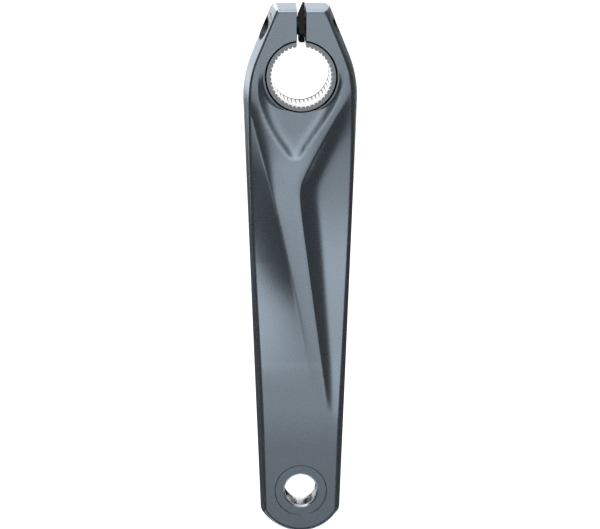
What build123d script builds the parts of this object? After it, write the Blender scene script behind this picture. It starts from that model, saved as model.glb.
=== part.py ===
import os
from math import acos, atan2, copysign, cos, degrees, hypot, pi, radians, sin, sqrt, tan

from build123d import *

os.makedirs("parts", exist_ok=True)

# The arm hangs from the spindle: +Z runs up the arm, the spindle axis is the Y axis, the outer face looks
# to -Y and the origin is on the spindle axis at the boss's inboard face. "Out" is a distance outboard of
# that face, so a point that lies "out" from it has Y = -out.

# Forged arm, with its outline given at the parting line
crank_length = 170.0
boss_depth = 23.0
boss_half_width = 23.2
widest_height = -9.0
clamp_top = 28.6
clamp_corner_radius = 0.4
shoulder_angle = 22.0
shoulder_radius = 45.0
pedal_face_out = 31.0
pedal_end_thickness = 14.0
pedal_half_width = 16.7
pedal_end_radius = 19.0
pedal_corner_radius = 4.5
pedal_parting_depth = 8.0
draft_angle = 11.0
blank_allowance = 3.5
front_edge_radius = 0.8
back_edge_chamfer = 1.0
front_flare_start = -22.0
front_flare_end = -150.0
front_flare_radius = 200.0
back_flare_start = -20.0
back_flare_end = -134.0

# Sculpted front: two panels sunk beside a ridge, and a scoop under the bore
left_crease_top = (-21.1, -12.0)
left_crease_foot = (3.0, -118.0)
left_crease_bow = 1.6
left_panel_top = -10.0
left_panel_foot = -121.0
left_panel_depth = 4.6
left_panel_run = 11.0
left_panel_growth_top = -40.0
left_panel_growth = 0.33
left_panel_power = 1.2
left_roll_top = -36.0
left_roll_foot = -76.0
left_roll_hollow = 0.2
right_crease_knee = (-1.4, -44.8)
right_crease_upper_slope = 0.547
right_crease_lower_slope = -0.139
right_crease_knee_offset = 1.5
right_panel_top = 10.0
right_panel_foot = -152.0
right_panel_depth = 4.6
right_panel_run = 8.0
right_panel_narrowing_top = -40.0
right_panel_narrowing = 0.03
right_panel_power = 2.5
right_panel_skew = 0.8
right_panel_fade = 0.1
panel_stations = 9
panel_rise = 0.8
panel_overrun = 0.06
right_panel_crowding = 1.2
scoop_half_width = 17.0
scoop_left_corner = -16.0
scoop_right_corner = -9.5
scoop_tip = (-4.3, -33.5)
scoop_tip_radius = 3.0
scoop_side_radius = 9.0
scoop_wall_angle = 40.0
scoop_depth = 3.0
scoop_start = 3.0
scoop_floor_radius = 70.0
scoop_floor_start = -12.0
scoop_floor_fall = 1.2

# Splined clamp bore, its cap seat and the pinch slit
spline_count = 44
spline_tip_radius = 12.0
spline_height = 0.55
spline_groove_mouth = 1.0
spline_groove_floor = 0.5
seat_radius = 14.0
seat_depth = 0.6
groove_width = 0.55
groove_depth = 1.6
bore_lip = 0.5
slit_width = 3.6

# Pinch bolts and washers
bolt_height = 19.5
outboard_bolt_out = 15.4
inboard_bolt_out = 6.2
bolt_radius = 3.0
bolt_length = 20.0
bolt_end_chamfer = 0.6
bolt_head_radius = 5.0
bolt_head_height = 5.5
bolt_head_chamfer = 0.5
hex_socket_width = 5.0
hex_socket_depth = 3.0
bolt_clearance = 0.08
washer_thickness = 1.0
pocket_clearance = 0.3
pocket_floor = 6.6

# Pedal hole
pedal_hole_radius = 6.5
pedal_hole_chamfer = 0.6
pedal_seat_radius = 10.8
pedal_seat_depth = 0.3

# Stopper plate, with its outline given as pushed in, from the inboard bolt's axis
plate_thickness = 2.8
plate_lift = 16.0
plate_nose = 13.8
plate_tail_radius = 4.2
plate_top = 6.7
plate_bottom = -7.2
plate_step = -4.0
plate_corner_radius = 1.0
plate_relief = 0.6
plate_bevel_height = 4.8
plate_bevel_width = 2.1
plate_slot_clearance = 0.3
plate_pin_place = 10.75
plate_pin_radius = 1.1
plate_pin_length = 2.0

# The parting plane leans outboard towards the pedal
boss_parting_out = boss_depth / 2
pedal_parting_out = pedal_face_out - pedal_parting_depth
pedal_back_out = pedal_face_out - pedal_end_thickness
parting_tilt = atan2(pedal_parting_out - boss_parting_out, crank_length)
arm_run = hypot(crank_length, pedal_parting_out - boss_parting_out)
parting_plane = Plane(
    origin=(0, -boss_parting_out, 0),
    x_dir=(-1, 0, 0),
    z_dir=(0, cos(parting_tilt), -sin(parting_tilt)),
)

# Outline: a shoulder, an arc and a tapered side on each flank, tangent to one another
side_taper = atan2(boss_half_width - pedal_half_width, arm_run + widest_height)
arc_centre_x = boss_half_width - shoulder_radius
shoulder_foot_x = arc_centre_x + shoulder_radius * cos(radians(shoulder_angle))
shoulder_foot_y = widest_height + shoulder_radius * sin(radians(shoulder_angle))
clamp_half_width = shoulder_foot_x - (clamp_top - shoulder_foot_y) * tan(radians(shoulder_angle))
side_top_x = arc_centre_x + shoulder_radius * cos(side_taper)
side_top_y = widest_height - shoulder_radius * sin(side_taper)
side_reach = (side_top_x - (side_top_y + arm_run) * tan(side_taper)) * cos(side_taper)
side_overrun = sqrt(pedal_end_radius**2 - side_reach**2)
side_foot_x = side_reach * cos(side_taper) - side_overrun * sin(side_taper)
side_foot_y = -arm_run - side_reach * sin(side_taper) - side_overrun * cos(side_taper)
blank_half_depth = boss_depth / 2 + blank_allowance
blank_corner_radius = clamp_corner_radius + blank_half_depth * tan(radians(draft_angle))
stock_top = clamp_top + boss_depth
stock_foot = -crank_length - pedal_end_radius - boss_depth
stock_half_width = boss_half_width + 2 * boss_depth

# Front of the ridge: a straight ramp from the boss's level to the pedal's, with an arc at each end. The tilt
# is the one at which the two arcs and the ramp together cover both the run and the step.
flare_run = front_flare_start - front_flare_end
flare_step = pedal_face_out - boss_depth
flare_chord = 2 * front_flare_radius - flare_step
flare_tilt = atan2(flare_run, flare_chord) - acos(2 * front_flare_radius / hypot(flare_run, flare_chord))
flare_arc_run = front_flare_radius * sin(flare_tilt)
flare_arc_step = front_flare_radius * (1 - cos(flare_tilt))


def front_out(z):
    """Distance out of the arm's front on its ridge: flat, arc, ramp, arc and flat."""
    drop = min(max(front_flare_start - z, 0), flare_run)
    if drop < flare_arc_run:
        return boss_depth + front_flare_radius - sqrt(front_flare_radius**2 - drop**2)
    if drop > flare_run - flare_arc_run:
        return pedal_face_out - front_flare_radius + sqrt(front_flare_radius**2 - (flare_run - drop) ** 2)
    return boss_depth + flare_arc_step + (drop - flare_arc_run) * tan(flare_tilt)


def left_crease(z):
    """Ridge's left crease: a straight run from the boss's flank to the foot, bowed to the right."""
    t = (left_crease_top[1] - z) / (left_crease_top[1] - left_crease_foot[1])
    straight = left_crease_top[0] + (left_crease_foot[0] - left_crease_top[0]) * t
    return straight + left_crease_bow * 4 * t * (1 - t)


def right_crease(z):
    """Ridge's right crease: two straight runs that meet in a rounded knee, which is a hyperbola."""
    upper = right_crease_knee[0] + right_crease_upper_slope * (z - right_crease_knee[1])
    lower = right_crease_knee[0] + right_crease_lower_slope * (z - right_crease_knee[1])
    return (upper + lower) / 2 + sqrt(((upper - lower) / 2) ** 2 + right_crease_knee_offset**2)


def panel_section(z, crease, side, depth, run, hollow):
    """Section of what a panel removes at height z: a parabola from the crease to the floor, a cove where
    hollow is one and a roll where it is nought."""
    surface = front_out(z)
    share = max(depth, panel_rise / 2)
    overhang = run * panel_rise / (hollow * share + sqrt((hollow * share) ** 2 + panel_rise * share))
    start = crease - side * overhang
    floor = surface - depth
    bend = surface - depth * hollow
    cove_end = crease + side * run
    ceiling = -surface - boss_depth / 2
    with BuildSketch(Plane.XY.offset(z)) as section:
        with BuildLine():
            Bezier((start, -surface - panel_rise), ((start + cove_end) / 2, -bend), (cove_end, -floor))
            Polyline(
                (cove_end, -floor),
                (side * stock_half_width, -floor),
                (side * stock_half_width, ceiling),
                (start, ceiling),
                (start, -surface - panel_rise),
            )
        make_face()
    return section.sketch


# Solid that the left panel removes from the arm
with BuildPart() as left_panel:
    left_sections = []
    for station in range(panel_stations):
        share = (1 + 2 * panel_overrun) * station / (panel_stations - 1) - panel_overrun
        height = left_panel_top + (left_panel_foot - left_panel_top) * share
        wave = sin(pi * share)
        depth = copysign(left_panel_depth * abs(wave) ** left_panel_power, wave)
        turn = min(max((left_roll_top - height) / (left_roll_top - left_roll_foot), 0), 1)
        hollow = left_roll_hollow + (1 - left_roll_hollow) * turn
        run = left_panel_run + left_panel_growth * max(left_panel_growth_top - height, 0)
        left_sections.append(panel_section(height, left_crease(height), -1, depth, run, hollow))
    loft(sections=left_sections)

# Solid that the right panel removes
with BuildPart() as right_panel:
    right_sections = []
    for station in range(panel_stations + 2):
        share = (1 + panel_overrun) * (station / (panel_stations + 1)) ** right_panel_crowding
        height = right_panel_top + (right_panel_foot - right_panel_top) * share
        wave = sin(pi * share**right_panel_skew)
        depth = copysign(right_panel_depth * abs(wave) ** right_panel_power, wave) - right_panel_fade
        run = right_panel_run - right_panel_narrowing * max(right_panel_narrowing_top - height, 0)
        right_sections.append(panel_section(height, right_crease(height), 1, depth, run, 1))
    loft(sections=right_sections)

# Solid that the scoop under the bore removes: a V with sloping walls, over a crowned floor that falls away
# downwards
floor_plane = Plane(
    origin=(0, scoop_floor_radius - boss_depth, scoop_floor_start),
    x_dir=(1, 0, 0),
    z_dir=(0, sin(radians(scoop_floor_fall)), -cos(radians(scoop_floor_fall))),
)
with BuildPart() as bore_scoop:
    with BuildSketch(Plane.XZ.offset(boss_depth + panel_rise)):
        with BuildLine():
            Polyline(
                (-scoop_half_width, scoop_start),
                (-scoop_half_width, scoop_left_corner),
                scoop_tip,
                (scoop_half_width, scoop_right_corner),
                (scoop_half_width, scoop_start),
                close=True,
            )
        scoop_face = make_face()
        fillet(scoop_face.vertices().group_by(Axis.Y)[0], scoop_tip_radius)
        side_corners = (scoop_left_corner, scoop_right_corner)
        fillet(scoop_face.vertices().filter_by(lambda v: v.Y in side_corners), scoop_side_radius)
    extrude(amount=-scoop_depth - 2 * panel_rise, taper=scoop_wall_angle)
    with BuildSketch(floor_plane):
        Circle(scoop_floor_radius)
    extrude(amount=boss_depth * 2, both=True, mode=Mode.SUBTRACT)
    # The bore keeps a flared lip
    with BuildSketch(Plane.XZ.offset(boss_depth + panel_rise)):
        Circle(seat_radius + groove_width + bore_lip)
    extrude(amount=-scoop_depth - 2 * panel_rise, taper=-scoop_wall_angle, mode=Mode.SUBTRACT)

# Blank of the arm, as two halves that are drafted away from the parting plane
with BuildSketch(parting_plane) as blank_outline:
    with BuildLine():
        Line((clamp_half_width, clamp_top), (shoulder_foot_x, shoulder_foot_y))
        CenterArc(
            (arc_centre_x, widest_height),
            shoulder_radius,
            -degrees(side_taper),
            shoulder_angle + degrees(side_taper),
        )
        Line((side_top_x, side_top_y), (side_foot_x, side_foot_y))
        mirror(about=Plane.YZ)
        Line((-clamp_half_width, clamp_top), (clamp_half_width, clamp_top))
        ThreePointArc(
            (-side_foot_x, side_foot_y),
            (0, -arm_run - pedal_end_radius),
            (side_foot_x, side_foot_y),
        )
    outline = make_face()
    fillet(outline.vertices().group_by(Axis.Y)[0], pedal_corner_radius)
    fillet(outline.vertices().group_by(Axis.Y)[-1], blank_corner_radius)
blank_halves = []
for side in (1, -1):
    with BuildPart() as blank_half:
        extrude(blank_outline.sketch, amount=side * blank_half_depth)
        walls = faces().filter_by(lambda f: abs(f.normal_at().dot(parting_plane.z_dir)) < 0.5)
        draft(walls, parting_plane, side * draft_angle)
    blank_halves.append(blank_half.part)

with BuildPart() as crank_arm:
    # Drafted blank
    add(blank_halves)

    # Side profile: flat at the boss and at the pedal, flared between them
    with BuildSketch(Plane.YZ.offset(-stock_half_width)):
        with BuildLine():
            ramp_top = (-boss_depth - flare_arc_step, front_flare_start - flare_arc_run)
            ramp_foot = (-pedal_face_out + flare_arc_step, front_flare_end + flare_arc_run)
            back_middle = (-pedal_back_out / 2, (back_flare_start + back_flare_end) / 2)
            Line((-boss_depth, stock_top), (-boss_depth, front_flare_start))
            TangentArc((-boss_depth, front_flare_start), ramp_top, tangent=(0, -1))
            Line(ramp_top, ramp_foot)
            TangentArc((-pedal_face_out, front_flare_end), ramp_foot, tangent=(0, 1))
            Polyline(
                (-pedal_face_out, front_flare_end),
                (-pedal_face_out, stock_foot),
                (-pedal_back_out, stock_foot),
                (-pedal_back_out, back_flare_end),
            )
            TangentArc((-pedal_back_out, back_flare_end), back_middle, tangent=(0, 1))
            TangentArc((0, back_flare_start), back_middle, tangent=(0, -1))
            Polyline((0, back_flare_start), (0, stock_top), (-boss_depth, stock_top))
        make_face()
    extrude(amount=2 * stock_half_width, mode=Mode.INTERSECT)

    # Broken edges of the front and back
    front_faces = faces().filter_by(lambda f: f.normal_at().Y < -0.9)
    back_faces = faces().filter_by(lambda f: f.normal_at().Y > 0.9)
    front_edges = [e for f in front_faces for e in f.edges()]
    back_edges = [e for f in back_faces for e in f.edges()]
    fillet([e for e in front_edges if sum(e.is_same(o) for o in front_edges) == 1], front_edge_radius)
    chamfer([e for e in back_edges if sum(e.is_same(o) for o in back_edges) == 1], back_edge_chamfer)

    # Sculpted front
    add(left_panel.part, mode=Mode.SUBTRACT)
    add(right_panel.part, mode=Mode.SUBTRACT)
    add(bore_scoop.part, mode=Mode.SUBTRACT)

    # Splined bore, with the cap's seat and a fine groove round it
    with BuildSketch(Plane.XZ):
        Circle(spline_tip_radius)
        with PolarLocations(spline_tip_radius, spline_count):
            Polygon(
                (-spline_height, spline_groove_mouth / 2),
                (spline_height, spline_groove_floor / 2),
                (spline_height, -spline_groove_floor / 2),
                (-spline_height, -spline_groove_mouth / 2),
                align=None,
            )
    extrude(amount=boss_depth, mode=Mode.SUBTRACT)
    with BuildSketch(Plane.XZ.offset(boss_depth)):
        Circle(seat_radius)
    extrude(amount=-seat_depth, mode=Mode.SUBTRACT)
    with BuildSketch(Plane.XZ.offset(boss_depth)):
        Circle(seat_radius + groove_width)
        Circle(seat_radius, mode=Mode.SUBTRACT)
    extrude(amount=-groove_depth, mode=Mode.SUBTRACT)

    # Pinch slit from the bore up through the clamp
    with BuildSketch(Plane.XZ.offset(boss_depth)):
        Rectangle(slit_width, stock_top, align=(Align.CENTER, Align.MIN))
    extrude(amount=-boss_depth, mode=Mode.SUBTRACT)

    # Bolt holes, each with a pocket for its head on one side
    for out, side in ((outboard_bolt_out, -1), (inboard_bolt_out, 1)):
        with BuildSketch(Plane.YZ):
            with Locations((-out, bolt_height)):
                Circle(bolt_radius + bolt_clearance)
        extrude(amount=stock_half_width, both=True, mode=Mode.SUBTRACT)
        with BuildSketch(Plane.YZ.offset(side * pocket_floor)):
            with Locations((-out, bolt_height)):
                Circle(bolt_head_radius + pocket_clearance)
        extrude(amount=side * stock_half_width, mode=Mode.SUBTRACT)

    # Pedal hole and the faced seat round it
    with BuildSketch(Plane.XZ.offset(pedal_face_out)):
        with Locations((0, -crank_length)):
            Circle(pedal_seat_radius)
    extrude(amount=-pedal_seat_depth, mode=Mode.SUBTRACT)
    with BuildSketch(Plane.XZ.offset(pedal_face_out)):
        with Locations((0, -crank_length)):
            Circle(pedal_hole_radius)
    extrude(amount=-pedal_face_out, mode=Mode.SUBTRACT)
    round_edges = edges().filter_by(GeomType.CIRCLE)
    pedal_mouths = round_edges.filter_by(lambda e: round(e.radius - pedal_hole_radius, 3) == 0)
    chamfer(pedal_mouths, pedal_hole_chamfer)

crank_arm.part.label = "crank_arm"
export_step(crank_arm.part, "parts/crank_arm.step")

# Clamp bolts and their washers, alike but from opposite sides
for name, out, side in (("outboard", outboard_bolt_out, -1), ("inboard", inboard_bolt_out, 1)):
    head_seat = pocket_floor + washer_thickness
    head_top = head_seat + bolt_head_height
    with BuildPart() as clamp_bolt:
        with BuildSketch(Plane.YZ.offset(side * head_seat)):
            with Locations((-out, bolt_height)):
                Circle(bolt_head_radius)
        extrude(amount=side * bolt_head_height)
        chamfer(edges().group_by(Axis.X)[-1 if side > 0 else 0], bolt_head_chamfer)
        with BuildSketch(Plane.YZ.offset(side * head_top)):
            with Locations((-out, bolt_height)):
                RegularPolygon(hex_socket_width / 2, 6, major_radius=False)
        extrude(amount=-side * hex_socket_depth, mode=Mode.SUBTRACT)
        with BuildSketch(Plane.YZ.offset(side * head_seat)):
            with Locations((-out, bolt_height)):
                Circle(bolt_radius)
        extrude(amount=-side * bolt_length)
        chamfer(edges().group_by(Axis.X)[0 if side > 0 else -1], bolt_end_chamfer)
    clamp_bolt.part.label = name + "_clamp_bolt"
    export_step(clamp_bolt.part, "parts/" + name + "_clamp_bolt.step")

    with BuildPart() as bolt_washer:
        with BuildSketch(Plane.YZ.offset(side * pocket_floor)):
            with Locations((-out, bolt_height)):
                Circle(bolt_head_radius)
                Circle(bolt_radius + bolt_clearance, mode=Mode.SUBTRACT)
        extrude(amount=side * washer_thickness)
    bolt_washer.part.label = name + "_bolt_washer"
    export_step(bolt_washer.part, "parts/" + name + "_bolt_washer.step")

# Stopper plate, lifted about the inboard bolt, with its pin clear of the bore
lift = radians(plate_lift)
bolt_spacing = outboard_bolt_out - inboard_bolt_out
tail_tangent = plate_tail_radius / sqrt(2)
plate_plane = Plane(
    origin=(plate_thickness / 2, -inboard_bolt_out, bolt_height),
    x_dir=(0, -cos(lift), sin(lift)),
    z_dir=(-1, 0, 0),
)
with BuildPart() as stopper_plate:
    with BuildSketch(plate_plane):
        with BuildLine():
            Polyline(
                (-tail_tangent, -tail_tangent),
                (-plate_bottom - 2 * tail_tangent, plate_bottom),
                (plate_nose, plate_bottom),
                (plate_nose, plate_top),
                (plate_top - 2 * tail_tangent, plate_top),
                (-tail_tangent, tail_tangent),
                close=True,
            )
        plate_face = make_face()
        fillet(plate_face.vertices().filter_by(lambda v: v.X > -tail_tangent / 2), plate_corner_radius)
        Circle(plate_tail_radius)
        Circle(bolt_radius + bolt_clearance, mode=Mode.SUBTRACT)
        with BuildLine(mode=Mode.PRIVATE) as slot_path:
            CenterArc((0, 0), bolt_spacing, -plate_lift, plate_lift)
        SlotArc(slot_path.edges()[0], 2 * (bolt_radius + plate_slot_clearance), mode=Mode.SUBTRACT)
    extrude(amount=plate_thickness)
    # The lower part is thinner on its left
    with BuildSketch(plate_plane.offset(plate_thickness - plate_relief)):
        with Locations((0, plate_step)):
            Rectangle(2 * boss_depth, boss_depth, align=(Align.CENTER, Align.MAX))
    extrude(amount=plate_relief, mode=Mode.SUBTRACT)
    # The upper edge is bevelled to a thin lip that a blade can lift
    with BuildSketch(Plane(origin=plate_plane.origin, x_dir=(-1, 0, 0), z_dir=-plate_plane.x_dir)):
        with BuildLine():
            Polyline(
                (plate_thickness, plate_top - plate_bevel_height),
                (plate_thickness, plate_top),
                (plate_thickness - plate_bevel_width, plate_top),
                close=True,
            )
        make_face()
    extrude(amount=boss_depth, both=True, mode=Mode.SUBTRACT)
    # Pin that drops into the spindle when the plate is pushed in
    pin_height = plate_bottom + plate_corner_radius
    pin_root = plate_plane.from_local_coords(
        Vector(plate_pin_place, pin_height, (plate_thickness - plate_relief) / 2)
    )
    with BuildSketch(Plane(origin=pin_root, x_dir=(1, 0, 0), z_dir=-plate_plane.y_dir)):
        Circle(plate_pin_radius)
    extrude(amount=plate_pin_length + plate_corner_radius)
stopper_plate.part.label = "stopper_plate"
export_step(stopper_plate.part, "parts/stopper_plate.step")
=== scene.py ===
import bmesh
import bpy
import numpy as np
from mathutils import Matrix


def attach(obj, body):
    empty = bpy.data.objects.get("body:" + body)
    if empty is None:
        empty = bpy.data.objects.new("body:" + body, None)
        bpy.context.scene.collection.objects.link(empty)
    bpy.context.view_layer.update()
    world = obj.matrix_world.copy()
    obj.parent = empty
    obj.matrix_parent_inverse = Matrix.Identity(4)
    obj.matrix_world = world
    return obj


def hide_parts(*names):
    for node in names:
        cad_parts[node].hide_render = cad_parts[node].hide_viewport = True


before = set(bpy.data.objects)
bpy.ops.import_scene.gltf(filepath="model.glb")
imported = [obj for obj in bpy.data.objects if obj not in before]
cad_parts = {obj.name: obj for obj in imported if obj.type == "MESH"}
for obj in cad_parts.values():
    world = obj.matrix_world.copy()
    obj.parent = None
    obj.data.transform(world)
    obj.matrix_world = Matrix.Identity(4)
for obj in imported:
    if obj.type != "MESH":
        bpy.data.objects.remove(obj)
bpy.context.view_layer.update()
mm = 0.001  # lengths below are in millimetres, meshes in metres


# Shader maths: a small wrapper round a socket, so that a material reads as a formula
class Wire:
    def __init__(self, tree, socket):
        self.tree = tree
        self.socket = socket

    def maths(self, operation, *terms):
        return addNode(self.tree, "ShaderNodeMath", {"operation": operation}, dict(enumerate(terms)))

    def __add__(self, other):
        return self.maths("ADD", self, other)

    def __radd__(self, other):
        return self.maths("ADD", other, self)

    def __sub__(self, other):
        return self.maths("SUBTRACT", self, other)

    def __rsub__(self, other):
        return self.maths("SUBTRACT", other, self)

    def __mul__(self, other):
        return self.maths("MULTIPLY", self, other)

    def __rmul__(self, other):
        return self.maths("MULTIPLY", other, self)

    def __truediv__(self, other):
        return self.maths("DIVIDE", self, other)

    def __rtruediv__(self, other):
        return self.maths("DIVIDE", other, self)

    def __pow__(self, other):
        return self.maths("POWER", self, other)

    def __rpow__(self, other):
        return self.maths("POWER", other, self)


def addNode(tree, kind, settings=None, sockets=None, output=0):
    # any node: its settings first, then values or links for its sockets; gives one output as a Wire
    node = tree.nodes.new(kind)
    for key, value in (settings or {}).items():
        setattr(node, key, value)
    for key, value in (sockets or {}).items():
        if isinstance(value, Wire):
            tree.links.new(value.socket, node.inputs[key])
        else:
            node.inputs[key].default_value = value
    return Wire(tree, node.outputs[output]) if len(node.outputs) else node


def outputsOf(tree, kind, names, sockets=None):
    # several outputs of one node, each as a Wire
    first = addNode(tree, kind, {}, sockets, output=names[0])
    return [Wire(tree, first.socket.node.outputs[name]) for name in names]


def newMaterial(name):
    # an empty material and its node tree
    material = bpy.data.materials.new(name)
    material.use_nodes = True
    material.node_tree.nodes.clear()
    return material, material.node_tree


def finishMaterial(tree, shader):
    addNode(tree, "ShaderNodeOutputMaterial", {}, {"Surface": shader})


def objectPlace(tree):
    return addNode(tree, "ShaderNodeTexCoord", output="Object")


def noiseAt(tree, place, scale, detail):
    return addNode(tree, "ShaderNodeTexNoise", {}, {"Vector": place, "Scale": scale, "Detail": detail})


def finishSurface(tree, look, height, sockets):
    # a bump made from the height, the surface's shader with the given sockets, and the output
    relief = {"Height": height, "Strength": look["bump"], "Distance": look["bumpHeight"]}
    bump = addNode(tree, "ShaderNodeBump", {}, relief)
    finishMaterial(tree, addNode(tree, "ShaderNodeBsdfPrincipled", {}, dict(sockets, Normal=bump)))


def paint(piece, *materials):
    # a new mesh has no materials yet, and its faces keep their numbers only if the list isn't cleared
    for material in materials:
        piece.data.materials.append(material)


# Mesh helpers
def gridFaces(index, wrap=False):
    # quads between neighbouring rows and columns of a grid of point numbers
    if wrap:
        index = np.concatenate([index, index[:, :1]], axis=1)
    corners = [index[:-1, :-1], index[:-1, 1:], index[1:, 1:], index[1:, :-1]]
    return np.stack(corners, axis=-1).reshape(-1, 4)


def fullTurn(count):
    # angles of evenly spaced points round a circle
    return np.linspace(0, 2 * np.pi, count, endpoint=False)


def addObject(name, data):
    piece = bpy.data.objects.new(name, data)
    bpy.context.scene.collection.objects.link(piece)
    return piece


def smoothMesh(mesh, sharp):
    # smooth shading that stops at edges sharper than the angle
    mesh.polygons.foreach_set("use_smooth", np.ones(len(mesh.polygons), dtype=bool))
    mesh.set_sharp_from_angle(angle=np.radians(sharp))
    mesh.update()


def putMesh(name, points, quads, triangles=(), sharp=32, finish=None):
    # points in millimetres and faces go into a mesh in metres, its faces turned outwards;
    # finish gives the number of each face's material
    mesh = bpy.data.meshes.new(name)
    faces = np.asarray(quads).tolist() + np.asarray(triangles).tolist()
    mesh.from_pydata((np.asarray(points) * mm).tolist(), [], faces)
    if finish is not None:
        mesh.polygons.foreach_set("material_index", np.asarray(finish, dtype=np.int32))
    work = bmesh.new()
    work.from_mesh(mesh)
    bmesh.ops.recalc_face_normals(work, faces=work.faces)
    work.to_mesh(mesh)
    work.free()
    smoothMesh(mesh, sharp)
    return addObject(name, mesh)


def turnedPiece(name, radius, along, around, place, sharp=32, bands=None):
    # a point of row i at angle a lies radius[i, a] from the axis and along[i] up it, and both ends close to
    # a pole; bands gives the number of the material between each row and the next
    radius = np.broadcast_to(radius, (len(along), len(around))).astype(float)
    height = np.broadcast_to(np.asarray(along, float)[:, None], radius.shape)
    rim = np.stack([height, radius * np.cos(around), radius * np.sin(around)], axis=-1).reshape(-1, 3)
    poles = np.array([[along[0], 0, 0], [along[-1], 0, 0]])
    points = place(np.concatenate([rim, poles]))
    index = np.arange(radius.size).reshape(radius.shape)
    first = np.stack([index[0], np.roll(index[0], -1), np.full(len(around), radius.size)], axis=-1)
    last = np.stack([index[-1], np.roll(index[-1], -1), np.full(len(around), radius.size + 1)], axis=-1)
    finish = None
    if bands is not None:
        finish = np.concatenate([np.repeat(bands, len(around)), np.zeros(2 * len(around), int)])
    return putMesh(name, points, gridFaces(index, wrap=True), np.concatenate([first, last]), sharp, finish)


def carve(piece, collar, cutters, sharp):
    # adds the collar, then takes out the cutters one after another; the faces they leave keep their materials
    tools = [collar] + cutters
    for tool in tools:
        cut = piece.modifiers.new(tool.name, "BOOLEAN")
        cut.operation = "UNION" if tool is collar else "DIFFERENCE"
        cut.solver = "MANIFOLD"
        cut.object = tool
        cut.material_mode = "TRANSFER"
    shaped = bpy.data.meshes.new_from_object(piece.evaluated_get(bpy.context.evaluated_depsgraph_get()))
    piece.modifiers.clear()
    piece.data = shaped
    smoothMesh(shaped, sharp)
    for tool in tools:
        bpy.data.objects.remove(tool)


# Curves that the arm's surface is made of
def softMin(a, b, width):
    # the lower of two heights, rounded over a band of the given width where they cross
    share = np.clip(0.5 + 0.5 * (b - a) / width, 0, 1)
    return b + (a - b) * share - width * share * (1 - share)


def softMax(a, b, width):
    # the higher of two heights, rounded in the same way
    return -softMin(-a, -b, width)


def smoothStep(value, start, end):
    # nought before the start and one after the end, with a cubic between them
    t = np.clip((value - start) / (end - start), 0, 1)
    return t * t * (3 - 2 * t)


def riseAndWane(z, start, full, wane, end):
    # one between two heights, with a cubic to nought beyond each of them
    return smoothStep(z, start, full) * smoothStep(z, end, wane)


def flareOut(z, start, end, low, high):
    # two equal tangent arcs from one flat level to another
    run = start - end
    step = high - low
    radius = (run**2 + step**2) / (4 * step)
    drop = np.clip(start - z, 0, run)
    first = low + radius - np.sqrt(radius**2 - np.minimum(drop, run / 2) ** 2)
    second = high - radius + np.sqrt(radius**2 - np.minimum(run - drop, run / 2) ** 2)
    return np.where(drop < run / 2, first, second)


def rampOut(z, start, end, radius, low, high):
    # a straight ramp with an arc at each end; its tilt is the one at which they cover the run and the step
    run = start - end
    chord = 2 * radius - (high - low)
    tilt = np.arctan2(run, chord) - np.arccos(2 * radius / np.hypot(run, chord))
    arcRun = radius * np.sin(tilt)
    arcStep = radius * (1 - np.cos(tilt))
    drop = np.clip(start - z, 0, run)
    first = low + radius - np.sqrt(radius**2 - np.minimum(drop, arcRun) ** 2)
    second = high - radius + np.sqrt(radius**2 - np.minimum(run - drop, arcRun) ** 2)
    ramp = low + arcStep + (drop - arcRun) * np.tan(tilt)
    return np.where(drop < arcRun, first, np.where(drop > run - arcRun, second, ramp))


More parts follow.
